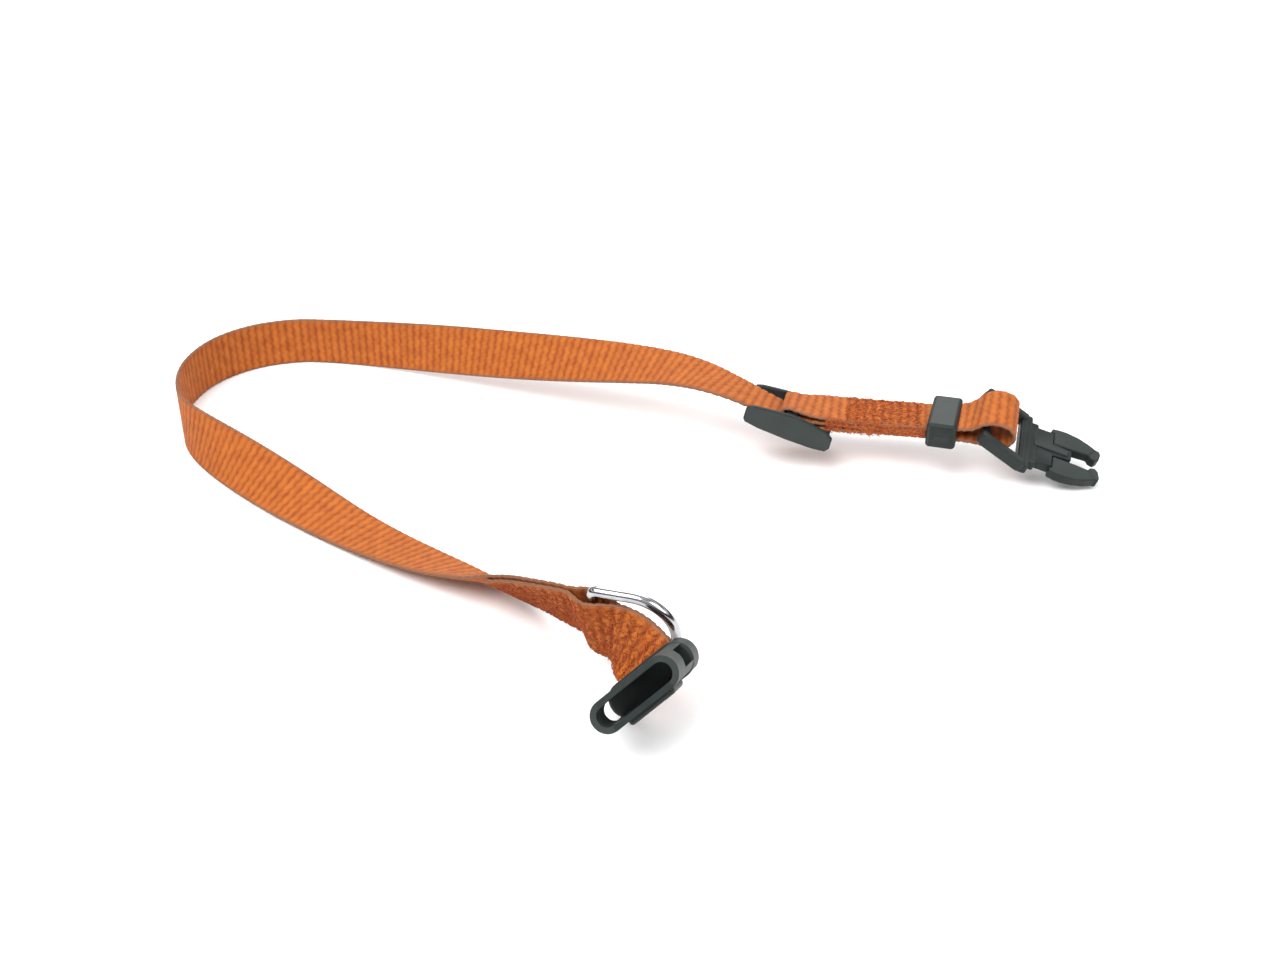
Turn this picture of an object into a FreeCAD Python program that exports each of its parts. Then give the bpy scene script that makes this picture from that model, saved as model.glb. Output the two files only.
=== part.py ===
"""Adjustable webbing strap with a side-release buckle, a ladder slide, a keeper loop and a D-ring.

Millimetres, +Z up, lying on a table as a sideways U. Every piece is laid out round FOOTPRINT_CENTRE,
and is exported with that point moved to the origin.
"""
import FreeCAD
import Part
import math
import os

Vector = FreeCAD.Vector

# ---- webbing ----
STRAP_WIDTH = 15.0
STRAP_THICK = 1.2
LAYER_GAP = 0.15                      # between two layers that lie on each other
LAYER_PITCH = STRAP_THICK + LAYER_GAP

# ---- ladder slide ----
SLIDE_LENGTH = 25.4
SLIDE_WIDTH = 20.6
SLIDE_RAIL = 1.6
SLIDE_BAR = 2.6

# ---- keeper loop ----
KEEPER_LENGTH = 8.2
KEEPER_WIDTH = 19.2
KEEPER_HEIGHT = 7.4
KEEPER_WALL = 1.2

# ---- buckle ----
BAR_RADIUS = 1.1                      # webbing bars of both halves
BUCKLE_WIDTH = 21.4
MALE_FRAME = 13.2                     # webbing bar to crossbar
PRONG_REACH = 22.0                    # crossbar to prong tips
PRONG_THICK = 2.8
PRONG_ROOT = 8.3                      # crossbar to the roots of the prongs
MOUTH_REACH = 22.5                    # webbing bar to mouth
SHELL_WIDTH = 22.0
SHELL_THICK = 7.3
SOCKET_WIDTH = 19.2
SOCKET_HEIGHT = 4.7
YOKE_THICK = 8.2                      # the thick ends that hold the female half's webbing bar

# ---- D-ring ----
RING_WIRE = 1.3
RING_HALF = 9.6                       # half the bar, to the wire's centre line
RING_DEPTH = 19.0                     # bar to bow, centre line to centre line

# ---- where things lie ----
FOOTPRINT_CENTRE = Vector(-4.6, -22.95, 0)
SLIDE_AT = Vector(43.2, 15.3, 12.5)   # the running strap, under the slide's middle bar
KEEPER_AT = Vector(85.6, 8.1, 14.1)
MALE_BAR_AT = Vector(96.5, 4.8, 17.4)
FEMALE_BAR_AT = Vector(3.4, -101.1, 9.0)
RING_STATION = 33.5                   # along the sewn end, from its start
RING_BULGE = 2.0                     # of each sewn layer over the ring's bar
RING_TWIST = 3.0                      # of the ring's bar, from square across the webbing


def heading(turn, drop):
    """Unit vector turned towards -Y from +X, then dropped below the horizontal, in degrees."""
    flat = math.cos(math.radians(drop))
    return Vector(flat * math.cos(math.radians(turn)), -flat * math.sin(math.radians(turn)),
                  -math.sin(math.radians(drop)))


def across(axis, roll):
    """Unit vector level across an axis, then rolled about it so that its far end drops."""
    level = Vector(-axis.y, axis.x, 0).normalize()
    turn = math.radians(roll)
    return level * math.cos(turn) - axis.cross(level) * math.sin(turn)


SLIDE_AXIS = heading(13, 13)
FEED_AXIS = heading(17, 20)           # the running strap where the slide rides on it
SLIDE_ROLL = 8.0                      # about its length, near rail up
SLIDE_CROSS = across(SLIDE_AXIS, SLIDE_ROLL)
FEED_CROSS = across(FEED_AXIS, SLIDE_ROLL)
KEEPER_AXIS = heading(9.4, 0)
KEEPER_CROSS = across(KEEPER_AXIS, 0)
KEEPER_SKEW = 7.0                     # how far the loop itself has turned on the webbing
MALE_CROSS = Vector(0.250, 0.941, 0.228).normalize()
PRONG_AXIS = Vector(0.941, -0.180, -0.287).normalize()
FRAME_BEND = 20.0                     # between the male's frame and its prongs
MOUTH_AXIS = Vector(-0.205, -0.868, 0.452).normalize()
FEMALE_CROSS = Vector(0.756, 0.153, 0.637).normalize()
FOLD_AXIS = Vector(0.548, -0.680, -0.487)
FOLD_AXIS = (FOLD_AXIS - FEMALE_CROSS * FOLD_AXIS.dot(FEMALE_CROSS)).normalize()
FOLD_RADIUS = 1.95                    # middle of the webbing round the female half's bar

# Route points: centre of the strap and how far its upper edge leans outwards, in degrees.
FAR_ROUTE = [
    (37.8, 17.15, 14.55, 98), (25.2, 21.0, 19.35, 94), (11.8, 30.6, 19.6, 78), (-3.0, 38.6, 17.7, 64),
    (-21.0, 46.8, 15.2, 50), (-40.0, 55.6, 12.5, 37), (-60.0, 64.6, 10.1, 24), (-80.0, 72.3, 8.1, 9),
    (-99.4, 76.6, 7.5, 0),
]
BEND_ROUTE = [
    (-100.6, 76.8, 7.5, 0), (-111.5, 77.3, 7.5, 0), (-124.5, 72.4, 7.5, 0), (-134.3, 61.7, 7.5, 0),
    (-138.2, 47.5, 7.5, 0), (-137.3, 35.0, 7.5, 0), (-134.3, 26.0, 7.5, 0),
]
NEAR_ROUTE = [
    (-133.8, 24.9, 7.5, 0), (-130.2, 17.4, 7.6, -9), (-122.0, 8.2, 7.3, -24), (-111.0, -1.4, 6.2, -42),
    (-99.0, -11.0, 4.5, -58), (-88.0, -19.4, 2.9, -74), (-77.3, -27.4, 1.4, -86),
    (-66.3, -36.1, 1.4, -94), (-55.3, -44.9, 2.4, -101), (-44.5, -53.0, 3.8, -111),
    (-33.6, -61.4, 5.7, -131),
]
SEWN_ROUTE = [
    (-32.6, -62.2, 6.0, -133), (-27.5, -66.5, 7.5, -140), (-20.8, -75.0, 10.9, -149),
    (-14.3, -80.8, 12.5, -159), (-6.5, -88.4, 12.6, -174),
]


def lean_axis(points, leans):
    """Width direction at each route point, from its lean and the mean direction of its runs."""
    axes = []
    for i, lean in enumerate(leans):
        before = points[max(i - 1, 0)]
        after = points[min(i + 1, len(points) - 1)]
        along = (after - before).normalize()
        outwards = Vector(along.y, -along.x, 0).normalize()
        upwards = outwards.cross(along)
        turn = math.radians(lean)
        axes.append(upwards * math.cos(turn) + outwards * math.sin(turn))
    return axes


def blend(a, b, share):
    return a * (1 - share) + b * share


def arc_path(points, axes, name):
    """Sections of a route of straight runs joined by tangent arcs: place, direction, width axis.

    Each arc takes 0.45 of the shorter run beside it. The width axis turns evenly along the runs.
    """
    sections = [(points[0], (points[1] - points[0]).normalize(), axes[0])]
    radii = []
    for i in range(1, len(points) - 1):
        run_in = points[i] - points[i - 1]
        run_out = points[i + 1] - points[i]
        cut = 0.45 * min(run_in.Length, run_out.Length)
        into = Vector(run_in).normalize()
        out = Vector(run_out).normalize()
        turn = max(into.getAngle(out), 1e-4)
        radius = cut / math.tan(turn / 2)
        radii.append(round(radius, 1))
        start = points[i] - into * cut
        first = blend(axes[i], axes[i - 1], cut / run_in.Length)
        last = blend(axes[i], axes[i + 1], cut / run_out.Length)
        steps = max(2, min(8, int(math.degrees(turn) / 6) + 2))
        for k in range(steps + 1):
            share = k / steps
            angle = turn * share
            along_in = math.cos(turn - angle) - math.cos(turn)
            along_out = 1 - math.cos(angle)
            place = start + (into * along_in + out * along_out) * (radius / math.sin(turn))
            direction = (into * math.sin(turn - angle) + out * math.sin(angle)).normalize()
            axis = first * (1 - share) ** 2 + axes[i] * (2 * share * (1 - share)) + last * share ** 2
            sections.append((place, direction, axis))
    sections.append((points[-1], (points[-1] - points[-2]).normalize(), axes[-1]))
    print("%-24s arc radii %s" % (name, radii))
    return sections


def flat_section(place, direction, axis, width, thick, lift):
    """Closed rectangle across the strap; lift moves it off its route towards the inner face."""
    axis = axis - direction * axis.dot(direction)
    axis.normalize()
    face = axis.cross(direction)
    middle = place + face * lift
    half = axis * (width / 2)
    up = face * (thick / 2)
    corners = [middle - half - up, middle + half - up, middle + half + up, middle - half + up]
    return Part.makePolygon(corners + [corners[0]])


def webbing(points, axes, name, lifts=None):
    """Solid strip along a route; lifts holds one offset for each section's share of the length."""
    sections = arc_path(points, axes, name)
    lengths = [0.0]
    for before, after in zip(sections, sections[1:]):
        lengths.append(lengths[-1] + (after[0] - before[0]).Length)
    wires = []
    for (place, direction, axis), length in zip(sections, lengths):
        lift = lifts(length, lengths[-1]) if lifts else 0.0
        wires.append(flat_section(place, direction, axis, STRAP_WIDTH, STRAP_THICK, lift))
    strip = Part.makeLoft(wires, True, True)
    expected = STRAP_WIDTH * STRAP_THICK * lengths[-1]
    print("%-24s length %6.1f  volume %8.1f of %8.1f" % (name, lengths[-1], strip.Volume, expected))
    return strip


def leaning_webbing(route, name, lifts=None):
    points = [Vector(x, y, z) for x, y, z, lean in route]
    axes = lean_axis(points, [lean for x, y, z, lean in route])
    return webbing(points, axes, name, lifts)


def placed(shape, origin, x_axis, y_axis):
    """Local shape moved to origin with its X and Y along the given perpendicular unit vectors."""
    z_axis = x_axis.cross(y_axis)
    matrix = FreeCAD.Matrix(x_axis.x, y_axis.x, z_axis.x, origin.x,
                            x_axis.y, y_axis.y, z_axis.y, origin.y,
                            x_axis.z, y_axis.z, z_axis.z, origin.z,
                            0, 0, 0, 1)
    return shape.transformed(matrix, True)


def square_to(axis, other):
    """Unit vector nearest to axis that is perpendicular to other."""
    return (axis - other * axis.dot(other)).normalize()


def block(x0, x1, y0, y1, z0, z1):
    return Part.makeBox(x1 - x0, y1 - y0, z1 - z0, Vector(x0, y0, z0))


def rounded(shape, radius, keep=None):
    """Shape with its edges filleted, or only those that keep accepts."""
    edges = [edge for edge in shape.Edges if keep is None or keep(edge)]
    return shape.makeFillet(radius, edges)


def outline_prism(points, z0, z1):
    """Prism of a closed outline in X and Y, between two heights."""
    corners = [Vector(x, y, z0) for x, y in points]
    face = Part.Face(Part.makePolygon(corners + [corners[0]]))
    return face.extrude(Vector(0, 0, z1 - z0))


def upright(edge):
    """True for an edge along Z."""
    ends = edge.Vertexes
    return len(ends) == 2 and (ends[0].Point - ends[1].Point).normalize().dot(Vector(0, 0, 1)) ** 2 > 0.99


def stadium(width, height, x0, x1):
    """Prism along X whose section is a slot of the given width in Y and height in Z."""
    r = height / 2
    y = width / 2 - r
    top = Part.makeLine(Vector(x0, -y, r), Vector(x0, y, r))
    right = Part.Arc(Vector(x0, y, r), Vector(x0, y + r, 0), Vector(x0, y, -r)).toShape()
    bottom = Part.makeLine(Vector(x0, y, -r), Vector(x0, -y, -r))
    left = Part.Arc(Vector(x0, -y, -r), Vector(x0, -y - r, 0), Vector(x0, -y, r)).toShape()
    return Part.Face(Part.Wire([top, right, bottom, left])).extrude(Vector(x1 - x0, 0, 0))


# ---- hardware ----

def slide_frame():
    """Two boat-shaped rails with three bars: the running strap passes under the middle one."""
    half = SLIDE_LENGTH / 2
    profile = [(-half, -1.4), (-half + 0.6, -2.3), (-8.0, -3.1), (0, -3.8), (8.0, -4.1), (half - 1.0, -3.8),
               (half, -2.6), (half, 0.4), (half - 2.0, 1.8), (4.0, 3.2), (0, 3.5), (-5.0, 3.3),
               (-half + 2.2, 2.9), (-half + 0.5, 2.4), (-half, 1.6)]
    rail = outline_prism(profile, 0, SLIDE_RAIL)
    rail = rounded(rail, 0.5)
    near = rail.copy()
    near.rotate(Vector(0, 0, 0), Vector(1, 0, 0), 90)
    near.translate(Vector(0, -SLIDE_WIDTH / 2 + SLIDE_RAIL, 0))
    far = near.copy()
    far.translate(Vector(0, SLIDE_WIDTH - SLIDE_RAIL, 0))
    reach = SLIDE_WIDTH / 2 - SLIDE_RAIL / 2
    bars = [block(-half + 0.6, -half + 0.6 + SLIDE_BAR, -reach, reach, -1.8, -0.1),
            block(-1.5, 1.5, -reach, reach, 2.45, 3.35),
            block(half - 0.7 - SLIDE_BAR, half - 0.7, -reach, reach, -2.8, -1.2)]
    frame = near.fuse([far] + [rounded(bar, 0.4) for bar in bars])
    return placed(frame, SLIDE_AT, SLIDE_AXIS, SLIDE_CROSS)


def keeper():
    outer = block(-KEEPER_LENGTH / 2, KEEPER_LENGTH / 2, -KEEPER_WIDTH / 2, KEEPER_WIDTH / 2,
                  -KEEPER_HEIGHT / 2, KEEPER_HEIGHT / 2)
    outer = rounded(outer, 1.2)
    wide = KEEPER_WIDTH / 2 - KEEPER_WALL
    high = KEEPER_HEIGHT / 2 - KEEPER_WALL
    inner = rounded(block(-KEEPER_LENGTH, KEEPER_LENGTH, -wide, wide, -high, high), 0.5,
                    lambda edge: abs(edge.tangentAt(edge.FirstParameter).x) > 0.99)
    near = -KEEPER_WIDTH / 2
    seam = block(-1.7, 1.7, near - 0.12, near + 0.3, -0.2, 0.05)
    skewed = heading(9.4 + KEEPER_SKEW, 0)
    return placed(outer.cut(inner).fuse(seam), at_keeper(-0.3, 0), skewed, across(skewed, 0))


def male_axes():
    """The prongs' axis, the frame's axis and the crossbar's middle."""
    prongs = square_to(PRONG_AXIS, MALE_CROSS)
    normal = prongs.cross(MALE_CROSS)
    bend = math.radians(FRAME_BEND)
    frame = prongs * math.cos(bend) - normal * math.sin(bend)
    return prongs, frame, MALE_BAR_AT + frame * MALE_FRAME


def male_base():
    """Webbing bar, its two arms, the crossbar and the plate that the prongs grow from."""
    prongs, frame, crossbar_at = male_axes()
    arm_in = STRAP_WIDTH / 2 + 0.8
    bar = Part.makeCylinder(BAR_RADIUS, 2 * arm_in + 1, Vector(0, -arm_in - 0.5, 0), Vector(0, 1, 0))
    pieces = [placed(bar, MALE_BAR_AT, frame, MALE_CROSS)]
    for side in (-1, 1):
        arm = outline_prism([(-1.7, side * arm_in), (MALE_FRAME, side * arm_in), (MALE_FRAME, side * 10.9),
                             (1.0, side * 10.9), (-1.7, side * 10.2)], -1.9, 1.9)
        pieces.append(placed(rounded(arm, 0.7), MALE_BAR_AT, frame, MALE_CROSS))
    crossbar = rounded(block(-1.7, 1.7, -BUCKLE_WIDTH / 2, BUCKLE_WIDTH / 2, -1.7, 1.7), 0.7)
    step = rounded(block(0, 3.6, -8.4, 8.4, -1.6, 1.6), 0.6)
    root = PRONG_ROOT - 0.35
    plate = outline_prism([(0, -6.9), (root, -6.9), (root, -2.3), (13.5, -1.9), (13.5, 1.9), (root, 2.3),
                           (root, 6.9), (0, 6.9)], -PRONG_THICK / 2, PRONG_THICK / 2)
    rib = rounded(block(2.5, 12.4, -1.0, 1.0, 0.9, 1.9), 0.3)
    for piece in (crossbar, step, rounded(plate, 0.3, upright), rib):
        pieces.append(placed(piece, crossbar_at, prongs, MALE_CROSS))
    return pieces[0].fuse(pieces[1:])


def prong(side):
    """One springy prong: a broad lobe with a square shoulder behind and a rounded tip."""
    prongs, frame, crossbar_at = male_axes()
    outline = [(PRONG_ROOT, 2.7), (14.6, 2.7), (18.6, 3.0), (19.2, 1.9), (20.6, 1.5),
               (PRONG_REACH - 0.4, 2.6), (PRONG_REACH, 4.8), (PRONG_REACH - 0.3, 6.1), (20.6, 6.3),
               (18.2, 7.7), (15.0, 8.9), (11.8, 9.4), (9.6, 9.3), (7.6, 8.9), (7.4, 7.6),
               (PRONG_ROOT, 7.3)]
    if side < 0:
        outline = [(x, -y) for x, y in outline]
    lobe = outline_prism(outline, -PRONG_THICK / 2, PRONG_THICK / 2)
    return placed(rounded(lobe, 0.4), crossbar_at, prongs, MALE_CROSS)


def female_housing():
    """Slot-shaped shell with an open mouth, a window in each end, a thumb pad and a webbing bar behind."""
    mouth = square_to(MOUTH_AXIS, FEMALE_CROSS)
    back = 4.3
    shell = stadium(SHELL_WIDTH, SHELL_THICK, back, MOUTH_REACH)
    pad = rounded(block(7.0, 18.0, -6.0, 6.0, -SHELL_THICK / 2 - 1.3, 0), 0.8)
    shell = shell.fuse(pad).cut(stadium(SOCKET_WIDTH, SOCKET_HEIGHT, back + 1.6, MOUTH_REACH + 1))
    window = rounded(block(back + 0.3, 15.4, 7.4, SHELL_WIDTH, -2.2, 2.2), 0.8,
                     lambda edge: abs(edge.tangentAt(edge.FirstParameter).y) > 0.99)
    other = window.mirror(Vector(0, 0, 0), Vector(0, 1, 0))
    shell = shell.cut([window, other])
    arm_in = STRAP_WIDTH / 2 + 0.8
    yoke = rounded(stadium(SHELL_WIDTH, YOKE_THICK, -1.6, back + 1.4), 0.8)
    yoke = yoke.cut(block(-3, back, -arm_in, arm_in, -9, 9))
    bar = Part.makeCylinder(BAR_RADIUS, 2 * arm_in + 1, Vector(0, -arm_in - 0.5, 0), Vector(0, 1, 0))
    return placed(shell.fuse([yoke, bar]), FEMALE_BAR_AT, mouth, FEMALE_CROSS)


def ring_place():
    """Middle of the ring's bar between the sewn layers, the way the ring points, and up its bar."""
    points, axes = sewn_route()
    sections = arc_path(points, axes, "d_ring")
    length = 0.0
    for before, after in zip(sections, sections[1:]):
        run = (after[0] - before[0]).Length
        if length + run > RING_STATION:
            break
        length += run
    share = (RING_STATION - length) / run
    middle = blend(before[0], after[0], share)
    along = blend(before[1], after[1], share).normalize()
    up = square_to(blend(before[2], after[2], share) * -1, along)
    middle += along.cross(up) * 0.25 + up * 0.1
    turn = math.radians(RING_TWIST)
    up = up * math.cos(turn) + along * math.sin(turn)
    return middle, square_to(Vector(0.945, -0.325, -0.035), up), up


def d_ring():
    """Round wire bent to a D: a straight bar, two short legs and a half-round bow."""
    corner = 1.6
    bow = RING_DEPTH - RING_HALF
    low, high = -RING_HALF, RING_HALF
    k = corner * (1 - math.cos(math.radians(45)))
    edges = [
        Part.makeLine(Vector(0, low + corner, 0), Vector(0, high - corner, 0)),
        Part.Arc(Vector(0, high - corner, 0), Vector(k, high - k, 0), Vector(corner, high, 0)).toShape(),
        Part.makeLine(Vector(corner, high, 0), Vector(bow, high, 0)),
        Part.Arc(Vector(bow, high, 0), Vector(RING_DEPTH, 0, 0), Vector(bow, low, 0)).toShape(),
        Part.makeLine(Vector(bow, low, 0), Vector(corner, low, 0)),
        Part.Arc(Vector(corner, low, 0), Vector(k, low + k, 0), Vector(0, low + corner, 0)).toShape(),
    ]
    path = Part.Wire(edges)
    section = Part.Wire(Part.makeCircle(RING_WIRE, Vector(0, 0, 0), Vector(0, 1, 0)))
    ring = path.makePipeShell([section], True, False)
    middle, away, up = ring_place()
    return placed(ring, middle, away, up)


# ---- webbing of the adjustable end ----

def at_keeper(along, lift):
    """Point on the layered stretch: along it from the keeper's middle, and above its centre."""
    return KEEPER_AT + KEEPER_AXIS * along + Vector(0, 0, lift)


def running_strap_layer():
    """Lower layer: from under the slide's middle bar to the keeper."""
    points = [SLIDE_AT + FEED_AXIS * -5.4, SLIDE_AT + FEED_AXIS * 3.0, at_keeper(-31, -LAYER_PITCH),
              at_keeper(-4.2, -LAYER_PITCH)]
    return webbing(points, [FEED_CROSS, SLIDE_CROSS, KEEPER_CROSS, KEEPER_CROSS], "running_layer")


def slide_fold():
    """Sewn end wrapped round the slide's middle bar, with the stubs of its two layers."""
    up = SLIDE_AXIS.cross(SLIDE_CROSS)
    local = [(2.4, 1.65), (-2.8, 1.65), (-2.8, 4.15), (1.5, 4.15)]
    points = [at_keeper(-35.5, 0.1)]
    points += [SLIDE_AT + SLIDE_AXIS * x + up * z for x, z in local]
    points += [at_keeper(-35.5, LAYER_PITCH + 0.5)]
    return webbing(points, [KEEPER_CROSS] + [SLIDE_CROSS] * 4 + [KEEPER_CROSS], "slide_fold")


def tail_layer():
    """Middle layer: the sewn end, back to just short of the keeper."""
    points = [at_keeper(-34.5, 0), at_keeper(-6.0, 0)]
    return webbing(points, [KEEPER_CROSS] * 2, "tail_layer")


def top_layer():
    points = [at_keeper(-34.5, LAYER_PITCH + 0.5), at_keeper(-26.0, LAYER_PITCH),
              at_keeper(-4.4, LAYER_PITCH)]
    return webbing(points, [KEEPER_CROSS] * 3, "top_layer")


def buckle_loop():
    """Loose loop round the male half's webbing bar, from the top layer to the lower one."""
    along = square_to(Vector(1, 0, 0), MALE_CROSS)
    up = along.cross(MALE_CROSS)
    local = [(-0.2, 3.9), (5.9, 3.5), (8.1, 0.3), (7.1, -3.1), (2.5, -4.7)]
    points = [at_keeper(-4.0, LAYER_PITCH), at_keeper(6.0, LAYER_PITCH)]
    points += [MALE_BAR_AT + along * x + up * z for x, z in local]
    points += [at_keeper(6.0, -LAYER_PITCH), at_keeper(-4.0, -LAYER_PITCH)]
    axes = [KEEPER_CROSS] * 2 + [MALE_CROSS] * len(local) + [KEEPER_CROSS] * 2
    return webbing(points, axes, "buckle_loop")


# ---- webbing of the ring end ----

def sewn_route():
    """Middle of the two sewn layers, ending square on the female half's webbing bar."""
    points = [Vector(x, y, z) for x, y, z, lean in SEWN_ROUTE]
    axes = lean_axis(points, [lean for x, y, z, lean in SEWN_ROUTE])
    points += [FEMALE_BAR_AT - FOLD_AXIS * 6.5, FEMALE_BAR_AT - FOLD_AXIS * 0.1]
    axes += [FEMALE_CROSS * -1, FEMALE_CROSS * -1]
    return points, axes


def sewn_layer(side, name):
    """One of the two sewn layers, bulging where the ring's bar lies between them."""
    def lift(length, total):
        bulge = RING_BULGE * math.cos(math.pi / 2 * min(1, abs(length - RING_STATION) / 7.0)) ** 2
        flare = FOLD_RADIUS - LAYER_PITCH / 2
        near_fold = max(0.0, 1 - (total - length) / 6.0)
        return side * (LAYER_PITCH / 2 + bulge + flare * near_fold * near_fold * (3 - 2 * near_fold))
    points, axes = sewn_route()
    return webbing(points, axes, name, lift)


def buckle_fold():
    """Half-round fold under the female half's webbing bar, joining the two sewn layers."""
    radius = FOLD_RADIUS + STRAP_THICK / 2
    outer = Part.makeCylinder(radius, STRAP_WIDTH, Vector(0, -STRAP_WIDTH / 2, 0), Vector(0, 1, 0))
    radius = FOLD_RADIUS - STRAP_THICK / 2
    inner = Part.makeCylinder(radius, STRAP_WIDTH + 2, Vector(0, -STRAP_WIDTH / 2 - 1, 0), Vector(0, 1, 0))
    fold = outer.cut(inner).common(block(0.05, 4, -10, 10, -4, 4))
    return placed(fold, FEMALE_BAR_AT, FOLD_AXIS, FEMALE_CROSS)


# ---- thread ----

def stitch_rows(origin, along, across, rows, columns, pitch_along, pitch_across):
    """Grid of short thread bars lying on a layer, slanted by turns."""
    bars = []
    for row in range(rows):
        for column in range(columns):
            bar = rounded(block(-0.85, 0.85, -0.2, 0.2, 0, 0.3), 0.09)
            bar.rotate(Vector(0, 0, 0), Vector(0, 0, 1), 35 if (row + column) % 2 else -35)
            bar.translate(Vector((column - (columns - 1) / 2) * pitch_along,
                                 (row - (rows - 1) / 2) * pitch_across, 0.04))
            bars.append(bar)
    return placed(Part.makeCompound(bars), origin, along, across)


def adjuster_stitching():
    return stitch_rows(at_keeper(-13.6, LAYER_PITCH + STRAP_THICK / 2), KEEPER_AXIS, KEEPER_CROSS, 5, 6, 2.6, 2.7)


def export(node, shape):
    moved = shape.copy()
    moved.translate(FOOTPRINT_CENTRE * -1)
    if not moved.isValid():
        raise ValueError(node + " is not a valid solid")
    moved.exportStep("parts/%s.step" % node)
    return moved


def main():
    os.makedirs("parts", exist_ok=True)
    nodes = {
        "webbing_far_run": leaning_webbing(FAR_ROUTE, "webbing_far_run"),
        "webbing_bend": leaning_webbing(BEND_ROUTE, "webbing_bend"),
        "webbing_near_run": leaning_webbing(NEAR_ROUTE, "webbing_near_run"),
        "webbing_sewn_back": sewn_layer(-1, "webbing_sewn_back"),
        "webbing_sewn_front": sewn_layer(1, "webbing_sewn_front"),
        "webbing_buckle_fold": buckle_fold(),
        "webbing_running_layer": running_strap_layer(),
        "webbing_slide_fold": slide_fold(),
        "webbing_tail_layer": tail_layer(),
        "webbing_top_layer": top_layer(),
        "webbing_buckle_loop": buckle_loop(),
        "adjuster_stitching": adjuster_stitching(),
        "ladder_slide": slide_frame(),
        "keeper_loop": keeper(),
        "buckle_male_base": male_base(),
        "buckle_prong_far": prong(1),
        "buckle_prong_near": prong(-1),
        "buckle_female_housing": female_housing(),
        "d_ring": d_ring(),
    }
    box = FreeCAD.BoundBox()
    for node, shape in nodes.items():
        box.add(export(node, shape).BoundBox)
    print("box", box)


main()
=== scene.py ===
"""Looks of the webbing strap: woven webbing, stitching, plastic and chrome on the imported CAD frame."""
import bpy
import math
import random
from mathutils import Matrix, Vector

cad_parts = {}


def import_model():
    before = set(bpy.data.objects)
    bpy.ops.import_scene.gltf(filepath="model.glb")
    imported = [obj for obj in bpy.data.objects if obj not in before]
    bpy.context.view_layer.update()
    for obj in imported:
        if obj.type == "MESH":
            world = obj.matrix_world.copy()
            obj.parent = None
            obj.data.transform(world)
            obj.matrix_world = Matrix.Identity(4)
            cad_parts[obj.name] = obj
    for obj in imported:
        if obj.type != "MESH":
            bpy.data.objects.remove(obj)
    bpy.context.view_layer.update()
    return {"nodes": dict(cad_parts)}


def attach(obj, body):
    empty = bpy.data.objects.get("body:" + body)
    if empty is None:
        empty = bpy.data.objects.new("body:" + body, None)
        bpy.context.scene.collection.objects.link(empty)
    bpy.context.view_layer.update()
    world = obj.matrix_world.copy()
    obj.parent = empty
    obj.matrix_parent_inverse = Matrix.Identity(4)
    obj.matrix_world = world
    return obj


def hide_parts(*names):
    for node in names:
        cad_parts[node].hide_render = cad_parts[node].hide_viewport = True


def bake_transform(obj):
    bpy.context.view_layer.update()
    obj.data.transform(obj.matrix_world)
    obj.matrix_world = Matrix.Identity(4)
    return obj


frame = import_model()

MM = 0.001
FOOTPRINT_CENTRE = Vector((-4.6, -22.95, 0.0))
STRAP_WIDTH = 15.0
STRAP_THICK = 1.2
LAYER_PITCH = 1.35
RIB_PITCH = 2.4
RIB_DEPTH = 0.26
COLUMNS = 12                # staggered columns of ribs across the webbing
COLUMN_SPLITS = 3
COLUMN_STAGGER = 0.05       # of the rib pitch, to either side
SELVAGE_AT = 7.30           # from the middle of the webbing
SELVAGE_SHARE = 0.10        # of the half width
SELVAGE_DROP = 0.22
SELVAGE_ROUND = 0.10
LOOP_REACH = 0.24           # how far the selvage's weft loops stand out
STEP = RIB_PITCH / 7        # between stations along the webbing
SPLINE_STEPS = 24

TUFT_LENGTH = (0.8, 1.8)
TUFT_RADIUS = 0.095
TUFT_RISE = (0.05, 0.19)
TUFT_SINK = 0.12
TUFT_STEPS = 5
TUFT_SIDES = 5
STITCH_REACH = 7.0


# ---- placement, the same numbers as the CAD model, in millimetres round the footprint centre ----

def heading(turn, drop):
    flat = math.cos(math.radians(drop))
    return Vector((flat * math.cos(math.radians(turn)), -flat * math.sin(math.radians(turn)),
                   -math.sin(math.radians(drop))))


def across(axis, roll):
    """Unit vector level across an axis, then rolled about it so that its far end drops."""
    level = Vector((-axis.y, axis.x, 0)).normalized()
    turn = math.radians(roll)
    return level * math.cos(turn) - axis.cross(level) * math.sin(turn)


def square_to(axis, other):
    return (axis - other * axis.dot(other)).normalized()


SLIDE_AT = Vector((43.2, 15.3, 12.5))
KEEPER_AT = Vector((85.6, 8.1, 14.1))
MALE_BAR_AT = Vector((96.5, 4.8, 17.4))
FEMALE_BAR_AT = Vector((3.4, -101.1, 9.0))
SLIDE_AXIS, FEED_AXIS, KEEPER_AXIS = heading(13, 13), heading(17, 20), heading(9.4, 0)
SLIDE_ROLL = 8.0
SLIDE_CROSS, FEED_CROSS = across(SLIDE_AXIS, SLIDE_ROLL), across(FEED_AXIS, SLIDE_ROLL)
KEEPER_CROSS = across(KEEPER_AXIS, 0)
MALE_CROSS = Vector((0.250, 0.941, 0.228)).normalized()
FEMALE_CROSS = Vector((0.756, 0.153, 0.637)).normalized()
FOLD_AXIS = square_to(Vector((0.548, -0.680, -0.487)), FEMALE_CROSS)
FOLD_RADIUS = 1.95
RING_STATION = 33.5         # of the ring's bar, along the sewn end
RING_BULGE = 2.0            # of each sewn layer over the bar
RING_BULGE_HALF = 7.0
FOLD_FLARE = 6.0            # over which the sewn layers part before the socket's bar
SEWN_LEAD = 8.0             # over which the running strap moves off the sewn end's line
FOLD_STEPS = 22
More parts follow.
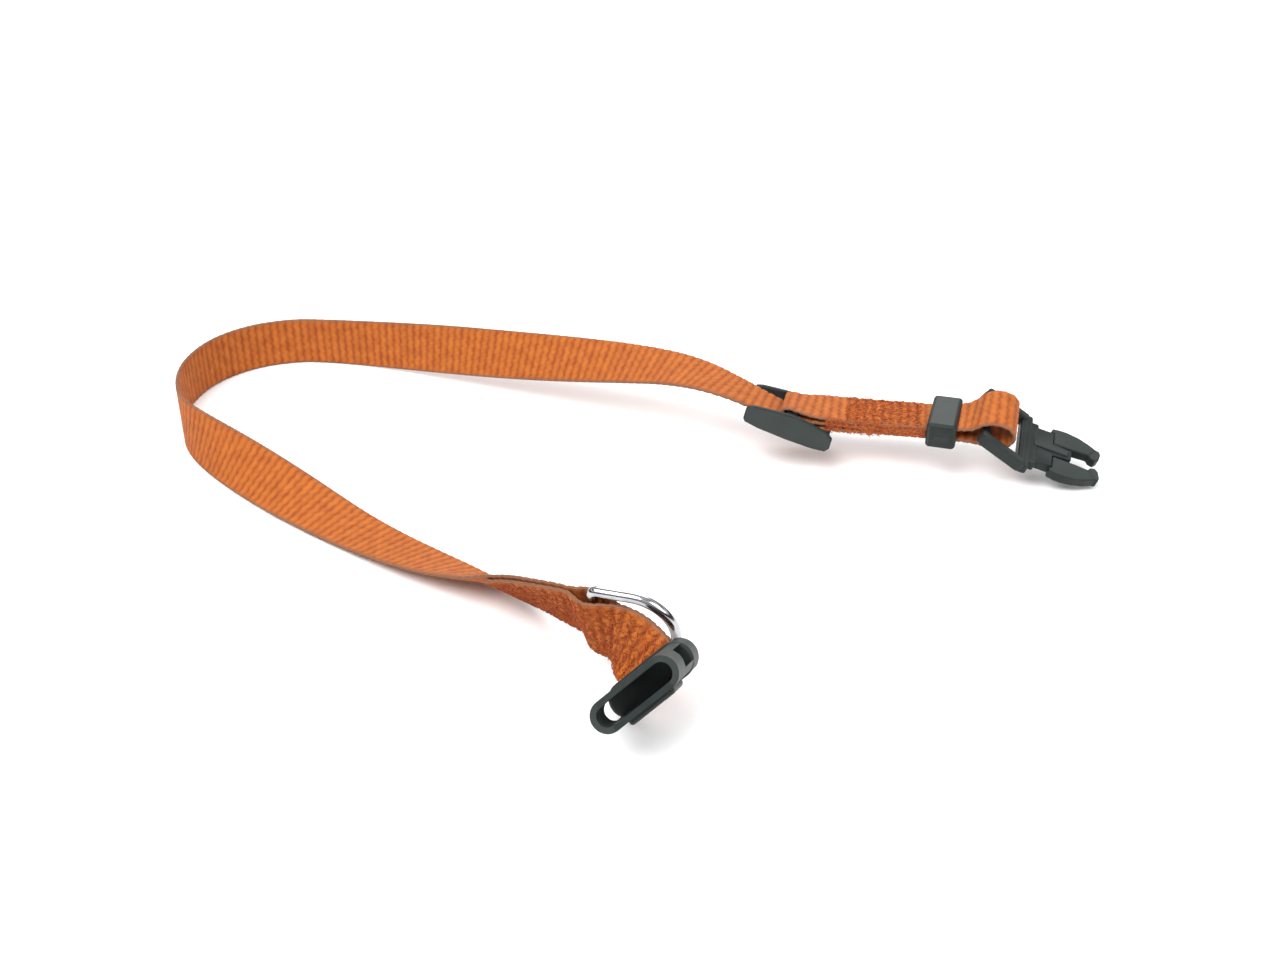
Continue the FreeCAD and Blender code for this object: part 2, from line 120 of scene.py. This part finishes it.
SPLIT_AT = Vector((-130.5, 66.5, 7.5))        # between the strap's two halves, in the bend
SEWN_START = Vector((-32.6, -62.2, 6.0))
BEFORE_SLIDE = SLIDE_AT + FEED_AXIS * -6.0

MAIN_ROUTE = [
    (25.2, 21.0, 19.35, 94), (11.8, 30.6, 19.6, 78), (-3.0, 38.6, 17.7, 64), (-21.0, 46.8, 15.2, 50),
    (-40.0, 55.6, 12.5, 37), (-60.0, 64.6, 10.1, 24), (-80.0, 72.3, 8.1, 9), (-100.0, 76.7, 7.5, 0),
    (-111.5, 77.3, 7.5, 0), (-124.5, 72.4, 7.5, 0), (-134.3, 61.7, 7.5, 0), (-138.2, 47.5, 7.5, 0),
    (-137.3, 35.0, 7.5, 0), (-134.0, 25.4, 7.5, 0), (-130.2, 17.4, 7.6, -9), (-122.0, 8.2, 7.3, -24),
    (-111.0, -1.4, 6.2, -42), (-99.0, -11.0, 4.5, -58), (-88.0, -19.4, 2.9, -74),
    (-77.3, -27.4, 1.4, -86), (-66.3, -36.1, 1.4, -94), (-55.3, -44.9, 2.4, -101),
    (-44.5, -53.0, 3.8, -111), (-33.1, -61.8, 5.85, -132),
]
SEWN_ROUTE = [
    (-27.5, -66.5, 7.5, -140), (-20.8, -75.0, 10.9, -149), (-14.3, -80.8, 12.5, -159),
    (-6.5, -88.4, 12.6, -174),
]


def at_keeper(along, lift):
    return KEEPER_AT + KEEPER_AXIS * along + Vector((0, 0, lift))


def lean_axes(points, leans):
    """Width direction at each route point, from its lean and the mean direction of its runs."""
    axes = []
    for i, lean in enumerate(leans):
        along = (points[min(i + 1, len(points) - 1)] - points[max(i - 1, 0)]).normalized()
        outwards = Vector((along.y, -along.x, 0)).normalized()
        upwards = outwards.cross(along)
        turn = math.radians(lean)
        axes.append(upwards * math.cos(turn) + outwards * math.sin(turn))
    return axes


def world(point):
    """A point of the CAD layout in the scene's metres."""
    return (point - FOOTPRINT_CENTRE) * MM


# ---- strips of webbing ----

def spline_points(points, name):
    """Points along a bare NURBS curve through its control points."""
    data = bpy.data.curves.new(name, "CURVE")
    data.dimensions = "3D"
    spline = data.splines.new("NURBS")
    spline.points.add(len(points) - 1)
    for target, point in zip(spline.points, points):
        target.co = (point.x, point.y, point.z, 1)
    spline.order_u = 3
    spline.use_endpoint_u = True
    spline.resolution_u = SPLINE_STEPS
    holder = bpy.data.objects.new(name, data)
    bpy.context.scene.collection.objects.link(holder)
    bpy.context.view_layer.update()
    mesh = bpy.data.meshes.new_from_object(holder.evaluated_get(bpy.context.evaluated_depsgraph_get()))
    line = [v.co.copy() for v in mesh.vertices]
    bpy.data.objects.remove(holder)
    bpy.data.curves.remove(data)
    bpy.data.meshes.remove(mesh)
    return line


def strip_frames(points, axes, name):
    """Evenly spaced stations of a strip: centre, direction and width direction."""
    centre = spline_points(points, name + "_centre")
    edge = spline_points([p + a * (STRAP_WIDTH / 2) for p, a in zip(points, axes)], name + "_edge")
    lengths = [0.0]
    for before, after in zip(centre, centre[1:]):
        lengths.append(lengths[-1] + (after - before).length)
    count = round(lengths[-1] / STEP)
    stations = []
    k = 0
    for i in range(count + 1):
        want = lengths[-1] * i / count
        while k < len(lengths) - 2 and lengths[k + 1] < want:
            k += 1
        share = (want - lengths[k]) / max(lengths[k + 1] - lengths[k], 1e-9)
        place = centre[k].lerp(centre[k + 1], share)
        width = edge[k].lerp(edge[k + 1], share) - place
        stations.append([place, None, width])
    return aimed(stations), lengths[-1]


def aimed(stations):
    """The same stations with each direction along its neighbours, and its width direction square to it."""
    for i, station in enumerate(stations):
        after = stations[min(i + 1, len(stations) - 1)][0]
        before = stations[max(i - 1, 0)][0]
        station[1] = (after - before).normalized()
        station[2] = square_to(station[2], station[1])
    return stations


def lifted(stations, lift):
    """The same stations moved off their line towards the face by lift(length)."""
    moved = []
    length = 0.0
    for i, (place, along, width) in enumerate(stations):
        if i:
            length += (place - stations[i - 1][0]).length
        moved.append([place + width.cross(along) * lift(length), along, width])
    return aimed(moved)


def rib_height(length, column_shift):
    """Height of the weave from 0 in a groove to 1 on a rib."""
    phase = (length / RIB_PITCH + column_shift) % 1.0
    return math.sin(math.pi * phase) ** 0.7


def webbing(name, stations, start, seed, fuzz=0.0):
    """Mesh of woven webbing: ribs across it in staggered columns, and looped selvages."""
    rng = random.Random(seed)
    splits = COLUMNS * COLUMN_SPLITS
    shifts = [COLUMN_STAGGER if c % 2 else -COLUMN_STAGGER for c in range(COLUMNS)]
    verts, tones, uvs = [], [], []
    length = start
    for i, (place, along, width) in enumerate(stations):
        if i:
            length += (place - stations[i - 1][0]).length
        face = width.cross(along)
        ring = []
        for side in (1, -1):
            for j in range(splits + 1):
                t = j / splits * 2 - 1
                column = min(int(j / COLUMN_SPLITS), COLUMNS - 1)
                inside = (j % COLUMN_SPLITS) / COLUMN_SPLITS
                bulge = math.sin(math.pi * min(inside + 0.17, 1)) * 0.25 + 0.75
                flip = 0.0 if side > 0 else 0.5
                wave = rib_height(length, shifts[column] + flip)
                height = STRAP_THICK / 2 - RIB_DEPTH + RIB_DEPTH * wave * bulge
                edge = max(0.0, (abs(t) - (1 - SELVAGE_SHARE)) / SELVAGE_SHARE)
                height -= SELVAGE_DROP * edge * edge
                wander = (rng.random() - 0.5) * (0.05 + fuzz)
                loop_phase = length / RIB_PITCH * 2 + (0 if t > 0 else 0.5)
                reach = SELVAGE_AT + LOOP_REACH * abs(math.sin(math.pi * loop_phase))
                at = t * reach * side
                # The tone is the rib height: painted highlight on the ribs and painted shade in the
                # grooves, halved towards the selvages as painted shade. The edge share gives the selvages
                # their painted shade colour.
                ring.append((place + width * at + face * side * (height + wander * 0.5),
                             wave * (1 - 0.5 * edge), edge, at))
            middle_at = side * (reach + SELVAGE_ROUND)
            ring.append((place + width * middle_at, 0.5, 1.0, middle_at))
        for spot, tone, edge, at in ring:
            verts.append(world(spot))
            tones.append((tone, edge, 0.0, 1.0))
            uvs.append((length, at))
    size = len(verts) // len(stations)
    faces = []
    for i in range(len(stations) - 1):
        for j in range(size):
            k = (j + 1) % size
            faces.append((i * size + j, i * size + k, (i + 1) * size + k, (i + 1) * size + j))
    last = (len(stations) - 1) * size
    faces.append(tuple(range(size - 1, -1, -1)))
    faces.append(tuple(range(last, last + size)))
    return finished(name, verts, faces, tones, uvs)


def finished(name, verts, faces, tones, uvs=None):
    """Linked smooth mesh object with its tones as a colour attribute and its lengths as UVs."""
    mesh = bpy.data.meshes.new(name)
    mesh.from_pydata([tuple(v) for v in verts], [], faces)
    mesh.update()
    layer = mesh.color_attributes.new("tone", "FLOAT_COLOR", "POINT")
    for item, tone in zip(layer.data, tones):
        item.color = tone
    if uvs:
        layer = mesh.uv_layers.new(name="weave")
        for loop in mesh.loops:
            layer.data[loop.index].uv = uvs[loop.vertex_index]
    mesh.polygons.foreach_set("use_smooth", [True] * len(mesh.polygons))
    piece = bpy.data.objects.new(name, mesh)
    bpy.context.scene.collection.objects.link(piece)
    return piece


def thread_tufts(name, spots, seed, last_tone):
    """Short bowed threads lying on a face, each spot given as place, along, across and face."""
    rng = random.Random(seed)
    verts, faces, tones = [], [], []
    for place, along, across, face in spots:
        turn = rng.uniform(-1.3, 1.3) if rng.random() < 0.75 else rng.uniform(0, math.pi)
        run = along * math.cos(turn) + across * math.sin(turn)
        side = across * math.cos(turn) - along * math.sin(turn)
        reach = rng.uniform(*TUFT_LENGTH) / 2
        rise = rng.uniform(*TUFT_RISE)
        bow = rng.uniform(-0.2, 0.2)
        tone = rng.uniform(0.0, last_tone)
        thick = TUFT_RADIUS * rng.uniform(0.75, 1.2)
        base = len(verts)
        for i in range(TUFT_STEPS + 1):
            u = i / TUFT_STEPS * 2 - 1
            high = rise * (1 - u * u) - TUFT_SINK * abs(u)
            middle = place + run * (u * reach) + side * (bow * (1 - u * u)) + face * high
            slim = thick * (1 - 0.55 * u ** 4)
            for k in range(TUFT_SIDES):
                angle = 2 * math.pi * k / TUFT_SIDES
                spot = middle + side * (slim * math.cos(angle)) + face * (slim * math.sin(angle))
                verts.append(world(spot))
                tones.append((tone, 0.0, 1.0, 1.0))
        for i in range(TUFT_STEPS):
            for k in range(TUFT_SIDES):
                a = base + i * TUFT_SIDES + k
                b = base + i * TUFT_SIDES + (k + 1) % TUFT_SIDES
                faces.append((a, b, b + TUFT_SIDES, a + TUFT_SIDES))
        faces.append(tuple(base + k for k in range(TUFT_SIDES - 1, -1, -1)))
        faces.append(tuple(base + TUFT_STEPS * TUFT_SIDES + k for k in range(TUFT_SIDES)))
    return finished(name, verts, faces, tones)


# ---- materials ----

def nodes_of(name):
    material = bpy.data.materials.new(name)
    material.use_nodes = True
    tree = material.node_tree
    return material, tree, tree.nodes["Principled BSDF"]


def ramp(tree, stops):
    node = tree.nodes.new("ShaderNodeValToRGB")
    while len(node.color_ramp.elements) < len(stops):
        node.color_ramp.elements.new(0.5)
    for element, (at, colour) in zip(node.color_ramp.elements, stops):
        element.position = at
        element.color = (*colour, 1)
    return node


def webbing_material():
    """Dyed orange yarn with fine yarn lines; the ribs are lighter as painted highlight, the grooves darker
    as painted shade and the selvages brown-grey as painted shade.
    """
    material, tree, shader = nodes_of("webbing_orange")
    link = tree.links.new
    tone = tree.nodes.new("ShaderNodeVertexColor")
    tone.layer_name = "tone"
    split = tree.nodes.new("ShaderNodeSeparateColor")
    link(tone.outputs["Color"], split.inputs["Color"])
    uv = tree.nodes.new("ShaderNodeUVMap")
    uv.uv_map = "weave"
    yarn = tree.nodes.new("ShaderNodeTexWave")
    yarn.bands_direction = "Y"
    yarn.inputs["Scale"].default_value = 0.75
    yarn.inputs["Distortion"].default_value = 1.2
    yarn.inputs["Detail"].default_value = 2.0
    yarn.inputs["Detail Scale"].default_value = 1.5
    link(uv.outputs["UV"], yarn.inputs["Vector"])
    patches = tree.nodes.new("ShaderNodeTexNoise")
    patches.inputs["Scale"].default_value = 0.35
    patches.inputs["Detail"].default_value = 5.0
    link(uv.outputs["UV"], patches.inputs["Vector"])
    # Painted shade in the grooves up to painted highlight on the ribs, from the rib height held in the
    # tone.
    base = ramp(tree, [(0.0, (0.16, 0.040, 0.014)), (0.35, (0.29, 0.068, 0.013)),
                       (0.75, (0.44, 0.110, 0.016)), (1.0, (0.53, 0.148, 0.023))])
    link(split.outputs["Red"], base.inputs["Fac"])
    tint = ramp(tree, [(0.38, (0.30, 0.060, 0.012)), (0.62, (0.52, 0.150, 0.024))])
    link(patches.outputs["Fac"], tint.inputs["Fac"])
    patchy = tree.nodes.new("ShaderNodeMix")
    patchy.data_type = "RGBA"
    patchy.inputs[0].default_value = 0.38
    link(base.outputs["Color"], patchy.inputs[6])
    link(tint.outputs["Color"], patchy.inputs[7])
    # Brown-grey painted shade over the selvages, mixed in by the edge share held in the tone.
    selvage_shade = tree.nodes.new("ShaderNodeMix")
    selvage_shade.data_type = "RGBA"
    selvage_shade.inputs[7].default_value = (0.22, 0.12, 0.075, 1)
    selvage_shade_share = tree.nodes.new("ShaderNodeMath")
    selvage_shade_share.operation = "MULTIPLY"
    selvage_shade_share.inputs[1].default_value = 0.75
    link(split.outputs["Green"], selvage_shade_share.inputs[0])
    link(selvage_shade_share.outputs[0], selvage_shade.inputs[0])
    link(patchy.outputs[2], selvage_shade.inputs[6])
    lines = tree.nodes.new("ShaderNodeMix")
    lines.data_type = "RGBA"
    lines.blend_type = "MULTIPLY"
    lines.inputs[0].default_value = 0.30
    link(selvage_shade.outputs[2], lines.inputs[6])
    link(yarn.outputs["Color"], lines.inputs[7])
    link(lines.outputs[2], shader.inputs["Base Color"])
    bump = tree.nodes.new("ShaderNodeBump")
    bump.inputs["Strength"].default_value = 0.55
    bump.inputs["Distance"].default_value = 0.00012
    link(yarn.outputs["Fac"], bump.inputs["Height"])
    link(bump.outputs["Normal"], shader.inputs["Normal"])
    shader.inputs["Roughness"].default_value = 0.75
    shader.inputs["Sheen Weight"].default_value = 0.04
    shader.inputs["Sheen Roughness"].default_value = 0.45
    shader.inputs["Specular IOR Level"].default_value = 0.18
    return material


def thread_material():
    """Bundles of orange, rust and brown sewing thread."""
    material, tree, shader = nodes_of("thread_rust")
    link = tree.links.new
    tone = tree.nodes.new("ShaderNodeVertexColor")
    tone.layer_name = "tone"
    split = tree.nodes.new("ShaderNodeSeparateColor")
    link(tone.outputs["Color"], split.inputs["Color"])
    base = ramp(tree, [(0.0, (0.22, 0.045, 0.016)), (0.3, (0.42, 0.066, 0.014)),
                       (0.6, (0.44, 0.100, 0.018)), (0.85, (0.56, 0.165, 0.034)),
                       (1.0, (0.27, 0.12, 0.065))])
    link(split.outputs["Red"], base.inputs["Fac"])
    where = tree.nodes.new("ShaderNodeTexCoord")
    twist = tree.nodes.new("ShaderNodeTexNoise")
    twist.inputs["Scale"].default_value = 2600.0
    link(where.outputs["Object"], twist.inputs["Vector"])
    dark = tree.nodes.new("ShaderNodeMix")
    dark.data_type = "RGBA"
    dark.blend_type = "MULTIPLY"
    dark.inputs[0].default_value = 0.4
    link(base.outputs["Color"], dark.inputs[6])
    link(twist.outputs["Fac"], dark.inputs[7])
    link(dark.outputs[2], shader.inputs["Base Color"])
    shader.inputs["Roughness"].default_value = 0.7
    shader.inputs["Specular IOR Level"].default_value = 0.2
    return material


def plastic_material():
    """Dark slate moulding with a fine spark-eroded grain and paler rims as painted highlight."""
    material, tree, shader = nodes_of("moulding_slate")
    link = tree.links.new
    where = tree.nodes.new("ShaderNodeTexCoord")
    grain = tree.nodes.new("ShaderNodeTexNoise")
    grain.inputs["Scale"].default_value = 2200.0
    grain.inputs["Detail"].default_value = 3.0
    link(where.outputs["Object"], grain.inputs["Vector"])
    cloud = tree.nodes.new("ShaderNodeTexNoise")
    cloud.inputs["Scale"].default_value = 160.0
    cloud.inputs["Detail"].default_value = 4.0
    link(where.outputs["Object"], cloud.inputs["Vector"])
    base = ramp(tree, [(0.3, (0.009, 0.014, 0.0132)), (0.7, (0.016, 0.022, 0.0205))])
    link(cloud.outputs["Fac"], base.inputs["Fac"])
    geometry = tree.nodes.new("ShaderNodeNewGeometry")
    # Paler colour on the sharp rims, found by pointiness: a painted highlight.
    rim_highlight_mask = ramp(tree, [(0.52, (0, 0, 0)), (0.60, (1, 1, 1))])
    link(geometry.outputs["Pointiness"], rim_highlight_mask.inputs["Fac"])
    rim_highlight = tree.nodes.new("ShaderNodeMix")
    rim_highlight.data_type = "RGBA"
    rim_highlight.inputs[7].default_value = (0.055, 0.064, 0.060, 1)
    share = tree.nodes.new("ShaderNodeMath")
    share.operation = "MULTIPLY"
    share.inputs[1].default_value = 0.35
    link(rim_highlight_mask.outputs["Color"], share.inputs[0])
    link(share.outputs[0], rim_highlight.inputs[0])
    link(base.outputs["Color"], rim_highlight.inputs[6])
    link(rim_highlight.outputs[2], shader.inputs["Base Color"])
    rough = tree.nodes.new("ShaderNodeMapRange")
    rough.inputs["To Min"].default_value = 0.42
    rough.inputs["To Max"].default_value = 0.60
    link(cloud.outputs["Fac"], rough.inputs["Value"])
    link(rough.outputs["Result"], shader.inputs["Roughness"])
    shader.inputs["Specular IOR Level"].default_value = 0.24
    bump = tree.nodes.new("ShaderNodeBump")
    bump.inputs["Strength"].default_value = 0.15
    bump.inputs["Distance"].default_value = 0.00005
    link(grain.outputs["Fac"], bump.inputs["Height"])
    link(bump.outputs["Normal"], shader.inputs["Normal"])
    return material


def chrome_material():
    """Plated wire, bright with faint polishing marks."""
    material, tree, shader = nodes_of("ring_chrome")
    link = tree.links.new
    where = tree.nodes.new("ShaderNodeTexCoord")
    marks = tree.nodes.new("ShaderNodeTexNoise")
    marks.inputs["Scale"].default_value = 420.0
    marks.inputs["Detail"].default_value = 4.0
    link(where.outputs["Object"], marks.inputs["Vector"])
    rough = tree.nodes.new("ShaderNodeMapRange")
    rough.inputs["To Min"].default_value = 0.07
    rough.inputs["To Max"].default_value = 0.20
    link(marks.outputs["Fac"], rough.inputs["Value"])
    link(rough.outputs["Result"], shader.inputs["Roughness"])
    base = ramp(tree, [(0.3, (0.36, 0.36, 0.375)), (0.7, (0.48, 0.48, 0.485))])
    link(marks.outputs["Fac"], base.inputs["Fac"])
    link(base.outputs["Color"], shader.inputs["Base Color"])
    shader.inputs["Metallic"].default_value = 1.0
    return material


WEBBING = webbing_material()
THREAD = thread_material()
PLASTIC = plastic_material()
CHROME = chrome_material()


def dress(piece, material):
    piece.data.materials.clear()
    piece.data.materials.append(material)


# ---- camera ----

camera_data = bpy.data.cameras.new("camera")
camera_data.sensor_width = 36.0
camera_data.lens = 41.625
camera_data.clip_start = 0.01
camera = bpy.data.objects.new("camera", camera_data)
bpy.context.scene.collection.objects.link(camera)
camera.location = world(Vector((0, -359.4, 207.5)))
camera.rotation_euler = (math.radians(60), 0, 0)
bpy.context.scene.camera = camera


# ---- webbing pieces ----

along_male = square_to(Vector((1, 0, 0)), MALE_CROSS)
up_male = along_male.cross(MALE_CROSS)
loop_points = [MALE_BAR_AT + along_male * x + up_male * z
               for x, z in [(-0.2, 3.9), (5.9, 3.5), (8.1, 0.3), (7.1, -3.1), (2.5, -4.7)]]
feed_points = [at_keeper(-2.5, LAYER_PITCH), at_keeper(6.0, LAYER_PITCH)] + loop_points
feed_points += [at_keeper(6.0, -LAYER_PITCH), at_keeper(-31.0, -LAYER_PITCH), SLIDE_AT + FEED_AXIS * 3.0,
                BEFORE_SLIDE]
feed_axes = [KEEPER_CROSS] * 2 + [MALE_CROSS] * 5 + [KEEPER_CROSS] * 2 + [SLIDE_CROSS, FEED_CROSS]
main_points = [Vector(p[:3]) for p in MAIN_ROUTE + SEWN_ROUTE]
main_axes = lean_axes([BEFORE_SLIDE] + main_points,
                      [98] + [p[3] for p in MAIN_ROUTE + SEWN_ROUTE])[1:]
bar_points = [FEMALE_BAR_AT - FOLD_AXIS * 6.5, FEMALE_BAR_AT - FOLD_AXIS * 0.1]
bar_axes = [FEMALE_CROSS * -1, FEMALE_CROSS * -1]

whole, whole_length = strip_frames(feed_points + main_points + bar_points,
                                   feed_axes + main_axes + bar_axes, "strap")


def station_near(spot):
    return min(range(len(whole)), key=lambda i: (whole[i][0] - spot).length)


split_at, sewn_at = station_near(SPLIT_AT), station_near(SEWN_START)
spacing = whole_length / (len(whole) - 1)
sewn_total = spacing * (len(whole) - 1 - sewn_at)


def ease(x):
    x = min(1.0, max(0.0, x))
    return x * x * (3 - 2 * x)


def sewn_offset(length):
    """How far each sewn layer stands off the line between the two."""
    off_bar = min(1, abs(length - RING_STATION) / RING_BULGE_HALF)
    bulge = RING_BULGE * math.cos(math.pi / 2 * off_bar) ** 2
    flare = (FOLD_RADIUS - LAYER_PITCH / 2) * ease(1 - (sewn_total - length) / FOLD_FLARE)
    return LAYER_PITCH / 2 + bulge + flare


far_frames = whole[:split_at + 1]
near_frames = whole[split_at:]
sewn_from = spacing * (sewn_at - split_at)
near_frames = lifted(near_frames, lambda s: (-sewn_offset(s - sewn_from)
                                             * ease((s - sewn_from + SEWN_LEAD) / SEWN_LEAD)))

strap_far = webbing("strap_far_half", far_frames, 0.0, seed=3)
strap_near = webbing("strap_near_half", near_frames, spacing * split_at, seed=4)

front = lifted(whole[sewn_at:], sewn_offset)
side = whole[-1][2].cross(whole[-1][1])
for i in range(1, FOLD_STEPS):
    angle = math.pi * i / FOLD_STEPS
    spot = (FEMALE_BAR_AT + side * (FOLD_RADIUS * math.cos(angle))
            + FOLD_AXIS * (FOLD_RADIUS * math.sin(angle)))
    front.append([spot, FOLD_AXIS * math.cos(angle) - side * math.sin(angle), FEMALE_CROSS * -1])
sewn_front = webbing("strap_sewn_layer", front, 0.7, seed=5, fuzz=0.05)

up_slide = SLIDE_AXIS.cross(SLIDE_CROSS)
fold_points = [at_keeper(-6.0, 0.0), at_keeper(-35.5, 0.1)]
fold_points += [SLIDE_AT + SLIDE_AXIS * x + up_slide * z
                for x, z in [(2.4, 1.65), (-2.8, 1.65), (-2.8, 4.15), (1.5, 4.15)]]
fold_points += [at_keeper(-35.5, LAYER_PITCH + 0.5), at_keeper(-26.0, LAYER_PITCH),
                at_keeper(-2.5, LAYER_PITCH)]
fold_axes = [KEEPER_CROSS] * 2 + [SLIDE_CROSS] * 4 + [KEEPER_CROSS] * 3
wrap_frames, wrap_length = strip_frames(fold_points, fold_axes, "wrap")
wrap = webbing("strap_slide_wrap", wrap_frames, 0.3, seed=6)

for piece in (strap_far, strap_near, sewn_front, wrap):
    dress(piece, WEBBING)


def metres(stations):
    picked = stations[::4]
    if picked[-1] is not stations[-1]:
        picked.append(stations[-1])
    return [tuple(world(s[0])) for s in picked]


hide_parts("webbing_far_run", "webbing_bend", "webbing_running_layer", "webbing_buckle_loop")
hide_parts("webbing_near_run", "webbing_sewn_back")
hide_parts("webbing_sewn_front", "webbing_buckle_fold")
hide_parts("webbing_slide_fold", "webbing_tail_layer", "webbing_top_layer")
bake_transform(strap_far)
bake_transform(strap_near)
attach(sewn_front, "near_strap")
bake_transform(wrap)
metres(far_frames)
metres(near_frames)


# ---- stitching ----

def spots_on(stations, first, last, count, seed, face_side=1):
    """Random places on a strip's face between two lengths."""
    rng = random.Random(seed)
    run = (stations[1][0] - stations[0][0]).length
    spots = []
    for _ in range(count):
        at = rng.uniform(first, last)
        t = rng.uniform(-STITCH_REACH, STITCH_REACH)
        place, along, width = stations[min(len(stations) - 1, max(0, int(at / run)))]
        face = width.cross(along) * face_side
        spots.append((place + width * t + face * (STRAP_THICK / 2), along, width, face))
    return spots


def edge_spots(count, seed):
    """Random places down the near edges of the webbing layers between slide and keeper."""
    rng = random.Random(seed)
    spots = []
    for _ in range(count):
        along = rng.uniform(-33.0, -5.0)
        spread = 2.0 if along < -18.0 else 1.35
        place = at_keeper(along, rng.uniform(-spread, spread)) - KEEPER_CROSS * 7.42
        spots.append((place, KEEPER_AXIS, Vector((0, 0, 1)), KEEPER_CROSS * -1))
    return spots


top_spots = spots_on(wrap_frames, wrap_length - 25.0, wrap_length - 4.0, 900, seed=11, face_side=-1)
adjuster_threads = thread_tufts("adjuster_threads", top_spots + edge_spots(900, 13), seed=12, last_tone=0.9)
dress(adjuster_threads, THREAD)
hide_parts("adjuster_stitching")
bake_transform(adjuster_threads)

for name, spots, seed in (("sewn_end_threads", spots_on(front, 1.0, 33.5, 1200, seed=21), 22),
                          ("ring_end_threads", spots_on(front, 33.5, 52.0, 680, seed=31), 32)):
    threads = thread_tufts(name, spots, seed, last_tone=0.75)
    dress(threads, THREAD)
    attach(threads, "near_strap")


# ---- mouldings and ring ----

for node in ("ladder_slide", "keeper_loop", "buckle_male_base", "buckle_prong_far", "buckle_prong_near",
             "buckle_female_housing"):
    piece = frame["nodes"][node]
    piece.data.materials.clear()
    piece.data.materials.append(PLASTIC)
ring = frame["nodes"]["d_ring"]
ring.data.materials.clear()
ring.data.materials.append(CHROME)


# ---- floor and light ----

def floor():
    mesh = bpy.data.meshes.new("floor")
    corners = [(x, y, -0.0002) for x, y in ((-3, -3), (3, -3), (3, 3), (-3, 3))]
    mesh.from_pydata(corners, [], [(0, 1, 2, 3)])
    piece = bpy.data.objects.new("floor", mesh)
    bpy.context.scene.collection.objects.link(piece)
    material, _, shader = nodes_of("floor_white")
    shader.inputs["Base Color"].default_value = (0.93, 0.93, 0.93, 1)
    shader.inputs["Roughness"].default_value = 0.85
    shader.inputs["Specular IOR Level"].default_value = 0.1
    mesh.materials.append(material)


def area_light(name, place, power):
    data = bpy.data.lights.new(name, "AREA")
    data.energy = power
    data.shape = "DISK"
    data.size = 0.9
    lamp = bpy.data.objects.new(name, data)
    bpy.context.scene.collection.objects.link(lamp)
    lamp.location = place
    lamp.rotation_euler = (Vector((0, 0, 0)) - Vector(place)).to_track_quat("-Z", "Y").to_euler()


floor()
area_light("key", (-0.5, -0.5, 1.0), 16.0)
area_light("fill", (0.7, -0.6, 0.8), 8.0)
area_light("back", (0.1, 0.9, 0.8), 7.0)
sky = bpy.data.worlds.new("sky")
sky.use_nodes = True
sky_tree = sky.node_tree
toward = sky_tree.nodes.new("ShaderNodeTexCoord")
heights = sky_tree.nodes.new("ShaderNodeSeparateXYZ")
sky_tree.links.new(toward.outputs["Generated"], heights.inputs["Vector"])
bands = ramp(sky_tree, [(0.0, (0.55, 0.55, 0.55)), (0.08, (0.04, 0.04, 0.05)), (0.28, (0.04, 0.04, 0.05)),
                        (0.34, (1, 1, 1)), (0.48, (1, 1, 1)), (0.53, (0.06, 0.06, 0.07)),
                        (0.63, (0.06, 0.06, 0.07)), (0.68, (1, 1, 1)), (0.80, (1, 1, 1)),
                        (0.86, (0.10, 0.10, 0.11)), (1.0, (0.9, 0.9, 0.9))])
sky_tree.links.new(heights.outputs["Z"], bands.inputs["Fac"])
sky_tree.links.new(bands.outputs["Color"], sky_tree.nodes["Background"].inputs["Color"])
sky_tree.nodes["Background"].inputs["Strength"].default_value = 1.1
bpy.context.scene.world = sky
bpy.context.scene.view_settings.view_transform = "Standard"
